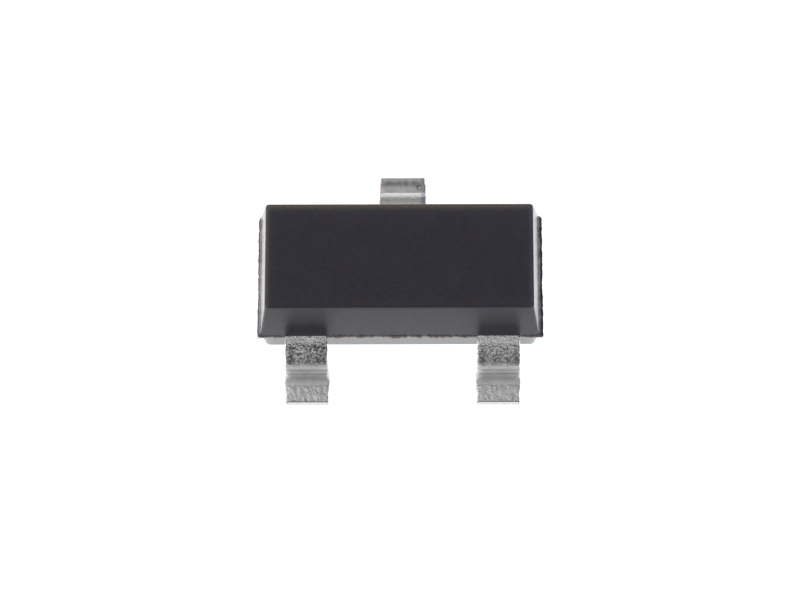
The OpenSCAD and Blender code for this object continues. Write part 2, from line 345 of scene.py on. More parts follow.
class NodeMaker:
    """Short calls for the nodes of a material or of the room."""

    def __init__(self, owner, coordinates="Object"):
        owner.use_nodes = True
        self.owner = owner
        self.tree = owner.node_tree
        self.place = self.add("ShaderNodeTexCoord").outputs[coordinates]

    def add(self, kind, settings=None, **inputs):
        """A node of that kind, with its settings and its inputs: numbers, colours or nodes' outputs."""
        made = self.tree.nodes.new(kind)
        for key, value in (settings or {}).items():
            setattr(made, key, value)
        for key, value in inputs.items():
            self.feed(made.inputs[key.replace("_", " ")], value)
        return made

    def feed(self, socket, value):
        """Links an output to the socket, or sets the socket to a plain value."""
        if isinstance(value, bpy.types.NodeSocket):
            self.tree.links.new(value, socket)
        else:
            socket.default_value = value

    def noise(self, size, detail=2.0, roughness=0.5, place=None):
        """Noise from 0 to 1 with grains of the given size in metres."""
        return self.add(
            "ShaderNodeTexNoise",
            Vector=place or self.place,
            Scale=1 / size,
            Detail=detail,
            Roughness=roughness,
        ).outputs["Fac"]

    def cells(self, size):
        """Distance to the nearest of scattered points, one in each cell of the given size."""
        return self.add("ShaderNodeTexVoronoi", Vector=self.place, Scale=1 / size).outputs["Distance"]

    def attribute(self, label):
        """A number that the mesh carries at each point."""
        return self.add("ShaderNodeAttribute", {"attribute_name": label}).outputs["Fac"]

    def ramp(self, value, low, high, start=0.0, end=1.0, kind="LINEAR"):
        """Value mapped from low..high onto start..end, and held there beyond."""
        made = self.add("ShaderNodeMapRange", {"interpolation_type": kind}, Value=value)
        for key, number in {"From Min": low, "From Max": high, "To Min": start, "To Max": end}.items():
            self.feed(made.inputs[key], number)
        return made.outputs["Result"]

    def join(self, node, kind, first, second):
        """Outputs of a node that works out one thing of that kind from two values."""
        made = self.add(node, {"operation": kind})
        self.feed(made.inputs[0], first)
        self.feed(made.inputs[1], second)
        return made.outputs

    def sum(self, first, second):
        """First plus second."""
        return self.join("ShaderNodeMath", "ADD", first, second)[0]

    def times(self, first, second):
        """First times second."""
        return self.join("ShaderNodeMath", "MULTIPLY", first, second)[0]

    def blend(self, amount, first, second):
        """Colour between two colours."""
        made = self.add("ShaderNodeMix", {"data_type": "RGBA"})
        self.feed(made.inputs[0], amount)
        for index, value in ((6, first), (7, second)):
            self.feed(made.inputs[index], value if isinstance(value, bpy.types.NodeSocket) else (*value, 1))
        return made.outputs[2]

    def relief(self, height, depth, below=None):
        """Bump of the given depth in metres where height goes from 0 to 1."""
        made = self.add("ShaderNodeBump", Height=height, Distance=depth, Strength=1.0)
        if below:
            self.feed(made.inputs["Normal"], below)
        return made.outputs["Normal"]

    def finish(self, **inputs):
        """Sets the shader's sockets and returns the material."""
        shader = self.tree.nodes["Principled BSDF"]
        for key, value in inputs.items():
            self.feed(shader.inputs[key.replace("_", " ")], value)
        return self.owner


def compound_material(look):
    """Moulding compound: near black and finely grained, with a painted highlight along the top rim and a
    dull broken ledge whose left end is lighter than its right by painted light.

    Its gloss varies a little in strength and tint, in patches drawn out along the body.
    """
    make = NodeMaker(bpy.data.materials.new("moulding_compound"))
    broken_and_lit = make.attribute("broken_and_lit")
    clouds = make.noise(0.25 * MM, 3)
    fine = make.noise(0.010 * MM, 3)
    coarse = make.noise(0.035 * MM, 2)
    light = [1.15 * c for c in look.compound]
    dark = [0.85 * c for c in look.compound]
    plain = make.blend(make.ramp(clouds, 0.35, 0.65), dark, light)
    across = make.add("ShaderNodeSeparateXYZ", Vector=make.place).outputs["X"]
    # Painted highlight along the top face's rim: warm, and cool towards the right end, patchy from noise.
    to_right = make.ramp(across, 0.85 * body_high[0], 0.92 * body_high[0])
    rim_highlight = make.blend(to_right, look.rim_highlight, look.cool_rim_highlight)
    patchy = make.times(make.attribute("rim"), make.ramp(coarse, 0.3, 0.7, 0.8, 1.2))
    # The broken ledge's colour: real filler at the break, and painted light that makes the left end lighter
    # than the right.
    base = make.blend(broken_and_lit, make.blend(patchy, plain, rim_highlight), look.broken_and_lit)
    relief = make.relief(coarse, 0.0004 * MM)
    relief = make.relief(fine, 0.0003 * MM, relief)
    rough = make.ramp(fine, 0.3, 0.7, look.grain - 0.03, look.grain + 0.03)
    rough = make.sum(rough, make.ramp(broken_and_lit, 0, 0.5, 0, 0.06))
    rough = make.sum(rough, make.ramp(broken_and_lit, 0.5, 1, 0, 0.25))
    stretched = make.join("ShaderNodeVectorMath", "MULTIPLY", make.place, (0.5, 1, 1))[0]
    streaks = make.noise(0.03 * MM, 3, place=stretched)
    patches = make.noise(0.1 * MM, 4, 0.6, stretched)
    return make.finish(
        Base_Color=base,
        Roughness=rough,
        Normal=relief,
        IOR=1.6,
        Specular_IOR_Level=make.ramp(streaks, 0.3, 0.7, 0.44, 0.56),
        Specular_Tint=make.blend(make.ramp(patches, 0.4, 0.6), look.warm_gloss, look.cool_gloss),
    )


def tin_material(look):
    """Matt tin plate: grainy where it was only plated, smooth where the bending tool rubbed it.

    It has dark spots where the first bend creased it, partly dull tin and partly painted shade in the
    crevices, and painted shade where the mesh says so. It is warm or cool along the sheared edges, and has a
    dark line along the tip's top edge.
    """
    make = NodeMaker(bpy.data.materials.new("tin_plate"))
    grainy = make.attribute("grainy")
    creased = make.attribute("creased")
    line = make.attribute("line")
    grain = make.cells(0.022 * MM)
    fine = make.noise(0.008 * MM, 2)
    clouds = make.ramp(make.noise(0.09 * MM, 2), 0.35, 0.65)
    spots = make.ramp(make.noise(0.023 * MM, 3, 0.6), 0.44, 0.57)
    stains = make.ramp(make.noise(0.05 * MM, 2), 0.4, 0.6, 0.1, 0.7)
    base = make.blend(clouds, [0.9 * c for c in look.tin], look.tin)
    # Dark spots in the creased zone: partly dull tin, partly painted shade in the crease's crevices.
    base = make.blend(make.times(creased, make.ramp(spots, 0, 1, 1.0, 0.14)), base, look.stain)
    # Painted shade: the mesh's shade attribute darkens the tin towards the stain colour.
    base = make.blend(make.attribute("shade"), base, look.stain)
    base = make.blend(make.times(make.attribute("edge"), stains), base, look.rust)
    base = make.blend(make.times(make.attribute("cool"), 0.8), base, look.cool_stain)
    # Dark line along the tip's top edge, less metallic than the tin.
    base = make.blend(line, base, look.tip_line)
    pitted = make.sum(make.ramp(grainy, 0, 1, 0.1, 1.0), make.ramp(creased, 0, 1, 0, 0.9))
    relief = make.relief(make.times(grain, pitted), 0.003 * MM)
    relief = make.relief(make.times(fine, make.ramp(grainy, 0, 1, 0.2, 1)), 0.0012 * MM, relief)
    rough = make.sum(make.ramp(grainy, 0, 1, 0.52, 0.27), make.ramp(fine, 0.3, 0.7, -0.03, 0.05))
    metal = make.ramp(line, 0, 1, 1.0, 0.3)
    return make.finish(Base_Color=base, Metallic=metal, Roughness=rough, Normal=relief)


def gold_material(look):
    """Drawn gold wire with faint marks along it."""
    make = NodeMaker(bpy.data.materials.new("drawn_gold"))
    marks = make.noise(0.006 * MM, 2)
    base = make.blend(marks, [0.85 * c for c in look.gold], look.gold)
    return make.finish(
        Base_Color=base,
        Metallic=1.0,
        Roughness=make.ramp(marks, 0.3, 0.7, 0.18, 0.3),
        Normal=make.relief(marks, 0.0003 * MM),
    )


def silicon_material(look):
    """Sawn silicon: grey-blue, with a bright metal contact on its top face."""
    make = NodeMaker(bpy.data.materials.new("sawn_silicon"))
    height = make.add("ShaderNodeSeparateXYZ", Vector=make.place).outputs["Z"]
    contact_base = chip_high[2] - 0.002 * MM
    contact = make.ramp(height, contact_base - 0.001 * MM, contact_base)
    saw = make.noise(0.01 * MM, 3)
    sawn = make.blend(saw, [0.8 * c for c in look.silicon], look.silicon)
    base = make.blend(contact, sawn, (0.75, 0.76, 0.78))
    return make.finish(
        Base_Color=base,
        Metallic=contact,
        Roughness=make.ramp(saw, 0.3, 0.7, 0.25, 0.4),
        Normal=make.relief(saw, 0.0006 * MM),
    )


def solder_material(look):
    """Dull solder with a coarse frozen grain."""
    make = NodeMaker(bpy.data.materials.new("chip_solder"))
    grain = make.cells(0.02 * MM)
    base = make.blend(grain, [0.75 * c for c in look.solder], look.solder)
    rough = make.ramp(grain, 0, 1, 0.4, 0.55)
    return make.finish(Base_Color=base, Metallic=1.0, Roughness=rough, Normal=make.relief(grain, 0.001 * MM))


# Steps of a quarter of the outline, along half an end, a corner and half a side, and rows of each stretch.
BODY_COLUMNS = (80, 16, 190)
BODY_STEPS = {"cap": 16, "edge": 6, "lower": 10, "ledge": 5, "upper": 14}
# Width of the slot in the middle of each face, as a share of the face's, and how fast the rows close on it.
SLOT, CAP_POWER = 0.015, 2.2
# The painted highlight along the right, back, left and front edge of the top face: how narrow and how strong
# it is.
RIM_NARROWING = (1.7, 1, 1.7, 1)
RIM_SHARES = (0.4, 0.75, 0.62, 0.04)
RIM_WIDTH, RIM_HAZE = 0.035 * MM, 0.08 * MM
# The ledge's noise: size, seed, and strength at the ends and at front and back.
LEDGE_NOISE = ((0.11 * MM, 3, 0.5, 2), (0.045 * MM, 5, 0.5, 5), (0.018 * MM, 8, 0.4, 7))
# Its mean reach at the right and left end and at the sides, and the least and most that the noise leaves.
RIGHT_REACH, LEFT_REACH, SIDES_REACH = 1.17, 0.85, 1.6
END_LIMITS, SIDES_LIMITS = (0.05, 1.4), (0.3, 3.6)
NEAR_CORNERS_LIMIT = 1.2
# Beside a lead: what is left of the ledge in the nick, and the spur's reach and its distance in nicks.
NICKED_REACH, SPUR_REACH, SPUR_DISTANCE = 0.05, 1.2, 2.2
# Side of the body, and how far from its back the ledge's taper there reaches.
TAPERED_CORNERS = ((-1, 0.06 * MM), (1, 0.04 * MM))
TAPER_ACROSS = 0.1 * MM
TAPERED_REACH = 0.03
# How much less of the broken ledge's colour the right and the left end show than front and back; the left
# shows more as painted light.
RIGHT_END_CUT, LEFT_END_CUT = 0.865, 0.655
# How far the ledge slopes down at front and back, how ragged it is beneath, and how uneven the walls are.
LEDGE_DROP = 0.011 * MM
BENEATH_LEDGE = 0.005 * MM
UNEVENNESS = 0.0004 * MM


def edge_rows(radius, count, angles):
    """Inset and drop along a rounded edge: radius times 1 - cos and 1 - sin of the angle from the wall."""
    angle = np.linspace(*angles, count)
    return radius * (1 - np.cos(angle)), radius * (1 - np.sin(angle))


def body_rows(look):
    """Rows of the body from the middle of its underside up to the middle of its top.

    Each row is a round-cornered rectangle: half length, half width, radius of the back and of the front
    corners, height, and its share of the ledge, 0 on a wall and 1 on the ledge's outer edge. The walls lean
    in by the tangent of their slope times the distance from the parting plane, the edges are quarter
    circles, and the faces shrink to a narrow slot that a strip closes.
    """
    half_length = body_high[0] - look.ledge_at_ends
    half_width = body_high[1] - look.ledge_at_sides
    ledge_bottom = PARTING - look.ledge_thickness
    count = BODY_STEPS

    def lower(height):
        """Rows of the lower half at these heights."""
        drop = ledge_bottom - height
        corner = look.lower_corner + 0 * height
        return np.stack([
            half_length - look.lower_step - drop * np.tan(look.lower_end_slope),
            half_width - look.lower_step - drop * np.tan(look.lower_slope),
            corner,
            corner,
            height,
            0 * height,
        ], axis=-1)

    def upper(height):
        """Rows of the upper half at these heights."""
        rise = height - PARTING
        return np.stack([
            half_length - rise * np.tan(look.end_slope),
            half_width - rise * np.tan(look.side_slope),
            look.back_corner + 0 * height,
            look.front_corner + 0 * height,
            height,
            0 * height,
        ], axis=-1)

    def rounded(section, face, inward, angles):
        """Rows of one half round the edge between its wall and its face."""
        inset, drop = edge_rows(look.edge_radius, count["edge"], angles)
        rows = section(face + inward * drop)
        rows[:, :4] -= inset[:, None]
        return rows

    def cap(rim):
        """Rows that close a face: moved in by a power of the way to its middle, down to a narrow slot."""
        scale = 1 - (1 - SLOT) * np.linspace(0, 1, count["cap"])[:, None] ** CAP_POWER
        rows = np.repeat(rim[None], count["cap"], axis=0)
        rows[:, :2] -= rim[1] * (1 - scale)
        rows[:, 2:4] *= scale
        return rows

    bottom_edge = rounded(lower, body_low[2], 1, (np.pi / 2, 0))
    top_edge = rounded(upper, body_high[2], -1, (0, np.pi / 2))
    lower_wall = lower(np.linspace(bottom_edge[-1, 4], ledge_bottom, count["lower"])[1:])
    upper_wall = upper(np.linspace(PARTING, top_edge[0, 4], count["upper"])[:-1])
    under = np.repeat(upper_wall[:1], count["ledge"], axis=0)
    under[:, 4] = ledge_bottom
    under[:, 5] = np.linspace(0, 1, count["ledge"])
    rim = under[-1:].copy()
    rim[:, 4] = (ledge_bottom + PARTING) / 2
    over = under[::-1].copy()
    over[:, 4] = PARTING
    return np.concatenate([
        cap(bottom_edge[0])[:0:-1],
        bottom_edge,
        lower_wall,
        under,
        rim,
        over,
        upper_wall[1:],
        top_edge,
        cap(top_edge[-1])[1:],
    ])


def ledge_reach(look, x, y, leads):
    """How much of the ledge is left at each column, as a share of its full reach.

    It is a constant for each side of the body plus smooth noise in three sizes, which is stronger at front
    and back, where the ledge is thin. Beside each lead nothing is left but a small spur, and the ledge
    tapers towards the back corners.
    """
    along = np.cumsum(np.hypot(np.diff(x, append=x[0]), np.diff(y, append=y[0])))
    at_end = np.abs(x) > body_high[0] - look.ledge_at_ends
    near_corner = np.abs(x) > body_high[0] - 2 * look.ledge_at_ends
    ends = np.where(x > 0, RIGHT_REACH, LEFT_REACH)
    sides = np.full(len(x), SIDES_REACH)
    for size, seed, at_ends, at_sides in LEDGE_NOISE:
        noise = look.ledge_wear * line_noise(along, size, seed)
        ends += at_ends * noise
        sides += at_sides * noise
    least, most = SIDES_LIMITS
    sides = np.clip(sides, least, np.where(near_corner, NEAR_CORNERS_LIMIT, most))
    reach = np.where(at_end, np.clip(ends, *END_LIMITS), sides)
    for centre, width, side in leads:
        gap = np.abs(x - centre) - width / 2
        near = (np.sign(y) == side) & ~at_end
        reach += np.where(near, SPUR_REACH * bump_at(gap, SPUR_DISTANCE * look.nick, look.nick), 0)
        reach = np.where(near & (gap < look.nick), NICKED_REACH, reach)
    for side, taper in TAPERED_CORNERS:
        from_side = (body_high[0] - side * x) / TAPER_ACROSS
        from_back = (body_high[1] - y) / taper
        reach *= np.clip(np.maximum(from_side, from_back), TAPERED_REACH, 1)
    return reach


def rim_highlight_strength(look, x, y, row):
    """How strong the painted highlight is at each point of the top face, from the sizes of its outermost
    row.

    For each of its four edges it is a bell curve and a wider exponential of the distance, times the edge's
    share.
    """
    half_length, half_width = row[:2]
    gaps = np.stack([half_length - x, half_width - y, half_length + x, half_width + y], axis=-1)
    gaps = np.maximum(gaps, 0) * RIM_NARROWING
    return (0.8 * bump_at(gaps, 0, RIM_WIDTH) + 0.2 * np.exp(-gaps / RIM_HAZE)) @ RIM_SHARES


def body_rings(look, leads):
    """Skin of the body: the rows as rings, with the ledge drawn out by its reach and faintly uneven walls.

    At the ends the ledge climbs the wall in a straight fillet, and the wall's rows are squeezed up to make
    room. At front and back it slopes down. Also gives how much of the broken ledge's colour each point
    shows, with painted light making the left end lighter than the right, and the painted highlight along the
    top rim.
    """
    columns = outline_columns(*BODY_COLUMNS)
    angle = columns[:, 2]
    rows = body_rows(look)
    half_length, half_width, back, front, height, on_ledge = rows.T
    x, y = outline_rings(columns, half_length, half_width, back, front)
    outer_x, outer_y = outline_rings(
        columns, half_length + look.ledge_at_ends, half_width + look.ledge_at_sides, back, front / 4
    )
    lip = int(np.argmax(on_ledge))
    reach = on_ledge[:, None] * ledge_reach(look, outer_x[lip], outer_y[lip], leads)
    rings = np.stack([
        x + (outer_x - x) * reach,
        y + (outer_y - y) * reach,
        np.broadcast_to(height[:, None], x.shape),
    ], axis=-1)
    lip_rows = 3
    above = np.arange(len(rows)) >= lip + lip_rows
    squeeze = np.clip((body_high[2] - height) / (body_high[2] - PARTING), 0, 1)
    squeeze = squeeze * (1 - on_ledge) ** 2 * above
    side = np.cos(angle)
    to_right, to_left = np.clip(side, 0, 1), np.clip(-side, 0, 1)
    fillet = look.right_fillet * to_right ** 2 + look.left_fillet * to_left ** 2
    fillet = fillet * (1 + 0.3 * line_noise(columns[:, 1] * body_high[1] + side * MM, 0.06 * MM, 15))
    lift = squeeze[:, None] * fillet
    rings[..., 0] -= lift * np.tan(look.end_slope) * side
    rings[..., 1] -= lift * np.tan(look.side_slope) * np.sin(angle)
    rings[..., 2] += lift
    uneven = soft_noise(rings, 0.12 * MM, 11) + 0.4 * soft_noise(rings, 0.04 * MM, 12)
    rings += ring_normals(rings) * (UNEVENNESS * uneven * (1 - on_ledge)[:, None])[..., None]
    under = (height < PARTING - TINY)[:, None] * on_ledge[:, None]
    ragged = 0.5 + 0.5 * soft_noise(rings, 0.05 * MM, 13)
    rings[..., 2] -= BENEATH_LEDGE * under * ragged * np.minimum(reach, 2)
    over = (height > PARTING - TINY)[:, None] * on_ledge[:, None]
    rings[..., 2] -= LEDGE_DROP * over * np.abs(np.sin(angle))
    on_top = (height >= body_high[2] - look.edge_radius)[:, None]
    # Strength of the painted highlight along the top face's rim.
    rim = rim_highlight_strength(look, x, y, rows[-BODY_STEPS["cap"]]) * on_top
    # Share of the broken ledge's colour: full at front and back, more at the left end than the right as
    # painted light.
    broken_and_lit = np.minimum(3 * on_ledge, 1)[:, None] * (1 - RIGHT_END_CUT * to_right - LEFT_END_CUT * to_left)
    return rings, broken_and_lit, rim


class Strip(NamedTuple):
    """Y of a lead's inner end, and half widths of its neck and of its wide inner part."""

    inner_end: float
    neck: float
    wide: float


class Wear(NamedTuple):
    """How the tools marked a lead.

    The side in X of the edge that the punch rolled over, how strongly the first bend is creased and the heel
    swells, the reach and strength of the stain along the sheared edges, and whether the toe is pressed.
    """

    rolled_side: int
    crease: float
    swelling: float
    stain_reach: float
    stain: float
    pressed: bool


FRONT_WEAR = Wear(
    rolled_side=1, crease=1.0, swelling=1.0, stain_reach=0.02 * MM, stain=1.0, pressed=False
)
BACK_WEAR = Wear(
    rolled_side=-1, crease=0.15, swelling=0.3, stain_reach=0.045 * MM, stain=1.6, pressed=True
)
# Steps of a quarter of the section, distance between rows, rows round the tip's edge and insets on its face.
LEAD_COLUMNS = (4, 7, 30)
LEAD_STEP = 0.0055 * MM
TIP_ROWS = 5
TIP_INSETS = np.array([0.003, 0.008, 0.02, 0.045]) * MM
# Where the strip's sag begins before the first bend, and its length.
SAG_START, SAG_LENGTH = 0.07 * MM, 0.12 * MM
RAGGED_EDGE = 0.004 * MM
DENT_DEPTH = 0.0025 * MM
PRESSED_DEPTH = 0.007 * MM
# Share of the first bend after which the tool rubbed the tin.
RUBBED_FROM = 0.71
# Painted shade in lines along the creased edges: distance from the edge and width.
ROLLED_EDGE_SHADE = (0.055 * MM, 0.018 * MM)
PLAIN_EDGE_SHADE = (0.03 * MM, 0.03 * MM)
# Painted shade in lines across a lead: its stretch, share of the way along that, and strength.
SHADE_LINES = ((2, 0.14, 0.45), (2, 0.59, 0.4), (3, 0.25, 0.06), (4, 0, 0.12))
SHADE_LINE_WIDTH = 0.014 * MM
# Painted shade in bands on the back lead: start of its stretch, distance from there, width and strength.
BACK_SHADE_BANDS = ((5, -0.066 * MM, 0.034 * MM, 0.5), (4, -0.01 * MM, 0.035 * MM, 0.28))
# Pit near the back lead's toe: place across, distance from the tip, radius and width of its ring of painted
# shade.
PIT_ACROSS, PIT_FROM_TIP, PIT_RADIUS, PIT_RING = np.array([0.172, 0.105, 0.023, 0.009]) * MM


def lead_route(look, inner_end):
    """Middle line of a lead from its inner end outwards.

    It is straight to the first bend, turns down through the shank angle on a circle, runs straight down the
    shank, turns back on an equal circle and is straight again to the tip. Rows come at even steps, wider
    ones inside the body, then round the tip's edge and across its end face. Gives Y, Z and heading below the
    horizontal, the length along the line, the inset of each row, and the lengths at which the five
    stretches begin and end.
    """
    middle = look.bend_radius + look.thickness / 2
    top_z = PARTING - look.thickness / 2
    angle = look.shank_angle
    bend_drop = middle * (1 - np.cos(angle))
    shank = (top_z - look.thickness / 2 - 2 * bend_drop) / np.sin(angle)
    foot_start = look.bend_start + 2 * middle * np.sin(angle) + shank * np.cos(angle)
    arc = middle * angle
    lengths = np.array([look.bend_start - inner_end, arc, shank, arc, LEAD_TIP - foot_start])
    marks = np.concatenate([[0], np.cumsum(lengths)])
    near_bend = marks[1] - 0.1 * MM
    inset, drop = edge_rows(look.tip_radius, TIP_ROWS, (0, np.pi / 2))
    along = np.concatenate([
        np.arange(marks[0], near_bend, 3 * LEAD_STEP),
        np.arange(near_bend, marks[5] - look.tip_radius, LEAD_STEP),
        marks[5] - drop,
        np.full(len(TIP_INSETS), marks[5]),
    ])
    inset = np.concatenate([inset, look.tip_radius + TIP_INSETS])
    inset = np.concatenate([np.zeros(len(along) - len(inset)), inset])
    heading = np.interp(along, marks, [0, 0, angle, angle, 0, 0])
    first = np.clip(along - marks[1], 0, lengths[1]) / middle
    straight = np.clip(along - marks[2], 0, lengths[2])
    second = np.clip(along - marks[3], 0, lengths[3]) / middle
    y = inner_end + np.minimum(along, marks[1]) + middle * np.sin(first) + straight * np.cos(angle)
    y += middle * (np.sin(angle) - np.sin(angle - second)) + np.maximum(along - marks[4], 0)
    z = top_z - middle * (1 - np.cos(first)) - straight * np.sin(angle)
    z -= middle * (np.cos(angle - second) - np.cos(angle))
    return y, z, heading, along, inset, marks


def lead_half_width(look, strip, along, marks, swelling):
    """Half width along a lead: wide with chamfered corners, a notch, then the neck with a swollen heel.

    It is straight between the corners of that outline, and the swelling is a bell curve.
    """
    start = look.wide_start - strip.inner_end
    notch_end = start + look.notch_length
    chamfered, notched = strip.wide - look.chamfer, strip.neck - look.notch_depth
    outline = [
        (0, chamfered),
        (look.chamfer, strip.wide),
        (start - look.chamfer, strip.wide),
        (start, chamfered),
        (start + TINY, notched),
        (notch_end, notched),
        (notch_end + TINY, strip.neck),
        (marks[5], strip.neck),
    ]
    return np.interp(along, *zip(*outline)) + swelling * bump_at(along, marks[4] - 0.05 * MM, 0.07 * MM)


class LeadSkin:
    """Skin of a lead leaving towards +Y: a round-edged strip section carried along its middle line.

    What is the same round a ring is kept as a column, so that it spreads over the ring's points.
    """

    def __init__(self, look, strip, wear, seed, crease_start):
        """Lays out the strip. Its sag where it leaves the body is x times e to the minus square of x."""
        self.look, self.wear, self.seed = look, wear, seed
        y, z, heading, along, inset, marks = lead_route(look, strip.inner_end)
        from_sag = (along - marks[1] + SAG_START) / SAG_LENGTH
        z -= look.droop * from_sag * np.exp(-(from_sag ** 2))
        outside = np.clip((along - marks[1] + 0.06 * MM) / (0.03 * MM), 0, 1)
        half_width = lead_half_width(look, strip, along, marks, look.swelling * wear.swelling)
        ragged = line_noise(along, 0.05 * MM, seed) + line_noise(along, 0.02 * MM, seed)
        half_width += RAGGED_EDGE * outside * ragged
        half_height = look.thickness / 2 - inset
        radius = np.minimum(np.maximum(look.edge_radius - inset, 0.002 * MM), 0.95 * half_height)
        columns = outline_columns(*LEAD_COLUMNS)
        self.across, self.up = outline_rings(columns, half_width - inset, half_height, radius, radius)
        self.on_top = np.clip(np.sin(columns[:, 2]), 0, 1)
        self.middle_line = (y[:, None], z[:, None], heading[:, None])
        self.along, self.inset, self.marks = along[:, None], inset[:, None], marks
        self.outside, self.half_width = outside[:, None], half_width[:, None]
        self.find_zones(crease_start)

    def find_zones(self, crease_start):
        """How far the tool rubbed each ring and how far it is creased, from 0 to 1 with soft steps between.

        The tool rubbed the end of the first bend, the shank and the second bend, and the crease lies before
        that. The cloth, on which the noise is laid, is the surface rolled out flat, and it is stretched
        lengthways where it is neither. Also the foot, and the distance from each of the strip's edges.
        """
        along, marks, wear = self.along, self.marks, self.wear
        rubbed = soft_step(along, marks[1] + RUBBED_FROM * (marks[2] - marks[1]), 0.014 * MM)
        rubbed *= 1 - soft_step(along, marks[4] - 0.01 * MM, 0.005 * MM)
        creased = soft_step(along, marks[1] + crease_start, 0.016 * MM) * (1 - rubbed)
        creased *= along < marks[3]
        slowness = 0.5 + 0.5 * np.maximum(creased, rubbed)
        warped = np.cumsum(np.gradient(along, axis=0) * slowness, axis=0)
        self.cloth = np.stack([self.across, warped + 0 * self.across, self.up], axis=-1)
        self.rubbed, self.creased = rubbed, creased
        self.foot = soft_step(along, marks[4], 0.01 * MM) * wear.crease
        self.from_rolled = self.half_width - wear.rolled_side * self.across
        self.from_plain = self.half_width + wear.rolled_side * self.across

    def noise(self, size, layer):
        """Noise of that size on the cloth, a new one for each layer."""
        return soft_noise(self.cloth, size, self.seed + layer)

    def relief(self):
        """How far the surface stands out: noise of two sizes as the grain, less what the tools pressed in.

        The grain is weaker where the tool rubbed and just before the first bend. Pressed in are small dents
        along the foot's plain edge, the rolled edge by the square of the distance into it, and the toe.
        """
        look, wear, along, marks = self.look, self.wear, self.along, self.marks
        grain = self.noise(0.026 * MM, 1) + 0.6 * self.noise(0.013 * MM, 2)
        calm = 1 - 0.75 * bump_at(along, marks[1] - 0.02 * MM, 0.05 * MM)
        plated = (0.55 * (1 - self.rubbed) + 0.1 * self.creased) * calm
        rough = self.outside * (0.1 + wear.crease * plated)
        dents = bump_at(self.from_plain, 0.05 * MM, 0.02 * MM) * (1 + self.noise(0.03 * MM, 6))
        rolled = np.clip(1 - self.from_rolled / look.rolled_width, 0, 1) ** 2
        pressed = DENT_DEPTH * self.foot * dents + look.rolled_depth * self.outside * rolled
        if wear.pressed:
            pressed += PRESSED_DEPTH * soft_step(along, marks[5] - 0.052 * MM, 0.011 * MM)
        return look.grain_height * rough * grain - pressed * (self.up > 0)

    def rings(self):
        """The section turned to the line's heading at each ring, plus the relief along the normals."""
        y, z, heading = self.middle_line
        y = y + self.up * np.sin(heading)
        z = z + self.up * np.cos(heading)
        rings = np.stack([self.across, y, z], axis=-1)
        rings -= ring_normals(rings) * (self.relief() * (self.inset == 0))[..., None]
        rings[..., 2] = np.maximum(rings[..., 2], 0)
        return rings

    def shade(self):
        """Painted shade on the tin: bell curves across the lead, beside its creased edges and round the pit.

        Noise makes all but the pit patchy, and the foot gets a little more painted shade than the rest.
        """
        along, marks, wear = self.along, self.marks, self.wear
        lines = 0 * along
        for stretch, part, strength in SHADE_LINES:
            place = marks[stretch] + part * (marks[stretch + 1] - marks[stretch])
            lines += wear.crease * strength * bump_at(along, place, SHADE_LINE_WIDTH)
        if wear.pressed:
            for stretch, place, width, strength in BACK_SHADE_BANDS:
                lines += strength * bump_at(along, marks[stretch] + place, width)
            lines += 0.12 * soft_step(along, marks[5] - 0.15 * MM, 0.02 * MM)
        patch = self.noise(0.035 * MM, 3)
        edges = 0.45 * bump_at(self.from_rolled, *ROLLED_EDGE_SHADE)
        edges += 0.4 * bump_at(self.from_plain, *PLAIN_EDGE_SHADE)
        shade = (lines + 0.1 * self.foot) * (1 + 0.5 * patch)
        shade += wear.crease * self.creased * (1 + patch) * edges
        if wear.pressed:
            from_pit = np.hypot(self.across - PIT_ACROSS, along - marks[5] + PIT_FROM_TIP)
            shade += 0.5 * bump_at(from_pit, PIT_RADIUS, PIT_RING)
        return np.clip(shade, 0, 1) * self.on_top

    def looks(self):
        """What the tin's material reads at each point, by name.

        The stain along the sheared edges falls off in a straight line, and it is cool at the right of the
        back lead. The shade is painted shade, and the dark line along the tip's top edge starts just before
        the tip, on the upper side.
        """
        look, wear = self.look, self.wear
        flat = self.half_width - look.edge_radius
        stain = np.clip(1 - np.abs(np.abs(self.across) - flat) / wear.stain_reach, 0, 1)
        edge = wear.stain * stain * self.outside
        # The dark line along the tip's top edge.
        line = np.clip((self.along - self.marks[5] + 0.01 * MM) / (0.005 * MM), 0, 1)
        line = line * (self.inset <= look.tip_radius + TINY) * (self.up > 0)
        line = line * (0.75 + 0.25 * self.noise(0.04 * MM, 4))
        creases = wear.crease * self.creased * self.on_top * (0.93 + 0.2 * self.noise(0.09 * MM, 5))
        return {
            "grainy": (0.5 + 0.5 * wear.crease) * (1 - self.rubbed),
            "creased": creases,
            "shade": self.shade(),
            "edge": edge,
            "cool": edge * wear.pressed * (self.across > 0),
            "line": line * wear.crease,
        }


WIRE_STEPS = {"round": 24, "ball": 9, "bend": 16, "landing": 12, "stitch": 8}


